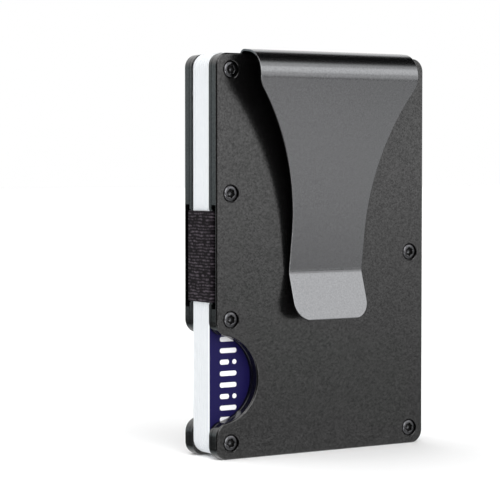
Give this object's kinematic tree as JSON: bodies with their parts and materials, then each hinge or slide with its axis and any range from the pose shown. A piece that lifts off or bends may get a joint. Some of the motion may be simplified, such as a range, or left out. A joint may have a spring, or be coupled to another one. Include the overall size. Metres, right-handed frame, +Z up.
{
  "type": "minimalist card wallet",
  "caption": "Slim metal card wallet: two screwed plates held over a card stack by elastic straps, thumb notch, sprung money clip.",
  "frame": {"origin": "on the base plane that the wallet stands on, in the middle of its width and of its thickness without the clip", "axes": "+Z up along the plates' long edges, -Y towards the money clip, -X towards the thumb notch"},
  "size_m": [0.0553, 0.0197, 0.0869],
  "materials": {
    "anodised_plate": "matte black, bead blasted and anodised",
    "plate_screw": "black oxide",
    "clip_steel": "satin gunmetal",
    "elastic_web": "woven elastic",
    "pin_steel": "drawn wire",
    "card_white": "satin card stock",
    "card_navy": "printed card"
  },
  "bodies": {
    "front_frame": {"front_outer_plate": "anodised_plate", "front_inner_plate": "anodised_plate", "front_screw_1": "plate_screw", "front_screw_2": "plate_screw", "front_screw_3": "plate_screw", "front_screw_4": "plate_screw", "front_screw_5": "plate_screw", "front_screw_6": "plate_screw", "front_screw_7": "plate_screw", "clip_root": "clip_steel", "clip_screw_1": "plate_screw", "clip_screw_2": "plate_screw", "side_strap": "elastic_web", "top_strap": "elastic_web", "base_strap": "elastic_web", "front_side_pin": "pin_steel", "front_top_pin": "pin_steel", "front_base_pin": "pin_steel"},
    "clip_spring": {"clip_leaf": "clip_steel"},
    "rear_frame": {"rear_outer_plate": "anodised_plate", "rear_inner_plate": "anodised_plate", "rear_screw_1": "plate_screw", "rear_screw_2": "plate_screw", "rear_screw_3": "plate_screw", "rear_screw_4": "plate_screw", "rear_screw_5": "plate_screw", "rear_screw_6": "plate_screw", "rear_screw_7": "plate_screw", "rear_side_pin": "pin_steel", "rear_top_pin": "pin_steel", "rear_base_pin": "pin_steel"},
    "card_1_body": {"card_1": "card_navy"},
    "card_2_body": {"card_2": "card_white"},
    "card_3_body": {"card_3": "card_white"},
    "card_4_body": {"card_4": "card_white"},
    "card_5_body": {"card_5": "card_white"},
    "card_6_body": {"card_6": "card_white"},
    "card_7_body": {"card_7": "card_white"},
    "card_8_body": {"card_8": "card_white"}
  },
  "joints": [
    {"name": "clip_flex", "type": "hinge", "parent": "front_frame", "child": "clip_spring", "pos_m": [0, -0.00666, 0.0852], "axis": [-1, 0, 0], "range_deg": [0, 6], "stiffness_Nm_per_rad": 0.3, "springref_deg": -5.73},
    {"name": "rear_spread", "type": "slide", "parent": "front_frame", "child": "rear_frame", "axis": [0, 1, 0], "range_m": [0, 0.0031], "stiffness_N_per_m": 300, "springref_m": -0.005, "deforming": ["side_strap", "top_strap", "base_strap"]},
    {"name": "card_1_slide", "type": "slide", "parent": "front_frame", "child": "card_1_body", "axis": [1, 0, 0], "range_m": [0, 0.054]},
    {"name": "card_2_slide", "type": "slide", "parent": "front_frame", "child": "card_2_body", "axis": [1, 0, 0], "range_m": [0, 0.054]},
    {"name": "card_3_slide", "type": "slide", "parent": "front_frame", "child": "card_3_body", "axis": [1, 0, 0], "range_m": [0, 0.054]},
    {"name": "card_4_slide", "type": "slide", "parent": "front_frame", "child": "card_4_body", "axis": [1, 0, 0], "range_m": [0, 0.054]},
    {"name": "card_5_slide", "type": "slide", "parent": "front_frame", "child": "card_5_body", "axis": [1, 0, 0], "range_m": [0, 0.054]},
    {"name": "card_6_slide", "type": "slide", "parent": "front_frame", "child": "card_6_body", "axis": [1, 0, 0], "range_m": [0, 0.054]},
    {"name": "card_7_slide", "type": "slide", "parent": "front_frame", "child": "card_7_body", "axis": [1, 0, 0], "range_m": [0, 0.054]},
    {"name": "card_8_slide", "type": "slide", "parent": "front_frame", "child": "card_8_body", "axis": [1, 0, 0], "range_m": [0, 0.054]}
  ]
}
